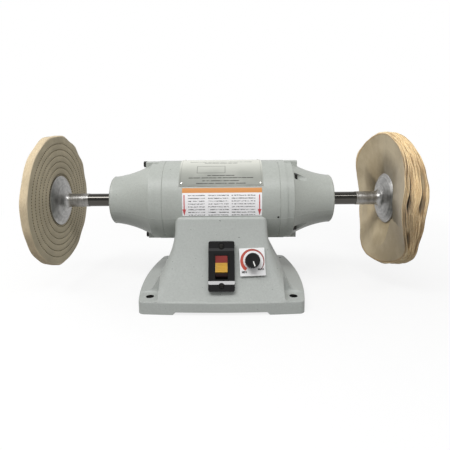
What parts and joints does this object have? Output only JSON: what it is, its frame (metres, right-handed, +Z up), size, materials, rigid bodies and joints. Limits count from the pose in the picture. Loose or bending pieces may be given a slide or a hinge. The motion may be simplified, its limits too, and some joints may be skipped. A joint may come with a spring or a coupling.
{
  "type": "bench buffing machine",
  "caption": "Bench buffing machine: a grey motor on a cast pedestal turns a cloth wheel on each end of a long spindle, with an on-off switch, a pull-out safety key and a speed knob.",
  "frame": {"origin": "centre of the base's footprint on the bench, under the middle of the spindle", "axes": "+X along the spindle towards the loose wheel, -Y towards the controls, +Z up"},
  "size_m": [0.6, 0.221, 0.2444],
  "materials": {
    "grey_casting": "hammered grey paint",
    "grey_motor": "satin grey paint",
    "dark_screws": "oiled",
    "zinc_steel": "zinc plated",
    "galvanised_sheet": "galvanised",
    "lamination_steel": "stacked laminations",
    "winding_copper": "varnished copper",
    "cast_aluminium": "as cast",
    "ground_steel": "ground",
    "bearing_steel": "polished",
    "flange_metal": "satin cast",
    "sewn_cotton": "stitched cotton",
    "loose_cotton": "loose muslin",
    "seal_rubber": "matte",
    "plate_metal": "matte print",
    "label_film": "printed film",
    "black_gloss": "gloss",
    "black_plastic": "satin",
    "red_plastic": "satin",
    "yellow_plastic": "satin",
    "white_plastic": "satin",
    "terminal_brass": "tinned",
    "board_green": "solder mask",
    "board_posts": "nylon",
    "capacitor_sleeve": "sleeve",
    "wire_sleeve": "woven sleeve"
  },
  "bodies": {
    "machine": {"base_casting": "grey_casting", "base_cover": "galvanised_sheet", "bearing_shim": "bearing_steel", "board_capacitors": "capacitor_sleeve", "board_standoffs": "board_posts", "control_board": "board_green", "control_wires": "wire_sleeve", "cord_gland": "black_plastic", "cover_screws": "zinc_steel", "dial_plate": "white_plastic", "gland_nut": "black_plastic", "heat_sink": "cast_aluminium", "lead_grommet": "seal_rubber", "left_bearing_outer_ring": "bearing_steel", "left_end_bell": "grey_motor", "left_shaft_seal": "seal_rubber", "lug_bolts": "dark_screws", "motor_leads": "wire_sleeve", "motor_shell": "grey_motor", "nameplate": "plate_metal", "nameplate_rivets": "zinc_steel", "pad_bolts": "zinc_steel", "pad_washers": "zinc_steel", "potentiometer_body": "black_plastic", "potentiometer_nut": "zinc_steel", "preload_washer": "bearing_steel", "right_bearing_outer_ring": "bearing_steel", "right_end_bell": "grey_motor", "right_shaft_seal": "seal_rubber", "rocker_pin": "zinc_steel", "rotation_label": "label_film", "seam_screws": "dark_screws", "stator_core": "lamination_steel", "stator_windings": "winding_copper", "switch_bezel": "black_gloss", "switch_body": "black_plastic", "switch_screws": "dark_screws", "switch_terminals": "terminal_brass", "terminal_block": "board_green", "through_bolts": "dark_screws"},
    "spindle": {"spindle_shaft": "ground_steel", "rotor_core": "lamination_steel", "rotor_cage": "cast_aluminium", "left_bearing_inner_ring": "bearing_steel", "right_bearing_inner_ring": "bearing_steel", "left_inner_flange": "flange_metal", "right_inner_flange": "flange_metal", "left_buffing_wheel": "sewn_cotton", "right_buffing_wheel": "loose_cotton", "left_outer_flange": "flange_metal", "right_outer_flange": "flange_metal", "left_arbor_nut": "zinc_steel", "right_arbor_nut": "zinc_steel"},
    "left_cage": {"left_bearing_balls": "bearing_steel"},
    "right_cage": {"right_bearing_balls": "bearing_steel"},
    "rocker": {"switch_rocker": "red_plastic"},
    "key": {"safety_key": "yellow_plastic"},
    "knob": {"speed_knob": "black_plastic", "knob_pointer": "white_plastic", "potentiometer_shaft": "ground_steel"}
  },
  "joints": [
    {"name": "spindle_spin", "type": "hinge", "parent": "machine", "child": "spindle", "pos_m": [0, 0, 0.142], "axis": [1, 0, 0], "continuous": true},
    {"name": "left_cage_spin", "type": "hinge", "parent": "machine", "child": "left_cage", "pos_m": [0, 0, 0.142], "axis": [1, 0, 0], "continuous": true},
    {"name": "right_cage_spin", "type": "hinge", "parent": "machine", "child": "right_cage", "pos_m": [0, 0, 0.142], "axis": [1, 0, 0], "continuous": true},
    {"name": "rocker_tilt", "type": "hinge", "parent": "machine", "child": "rocker", "pos_m": [0.0006, -0.08754, 0.05937], "axis": [1, 0, 0], "range_deg": [0, 20]},
    {"name": "key_pull", "type": "slide", "parent": "rocker", "child": "key", "axis": [0, -0.8523, 0.5231], "range_m": [0, 0.02]},
    {"name": "knob_turn", "type": "hinge", "parent": "machine", "child": "knob", "pos_m": [0.043, -0.08721, 0.06838], "axis": [0, -0.9301, 0.3672], "range_deg": [0, 300]}
  ],
  "couplings": [
    {"joint": "left_cage_spin", "follows": "spindle_spin", "ratio": 0.38149},
    {"joint": "right_cage_spin", "follows": "spindle_spin", "ratio": 0.38149}
  ]
}
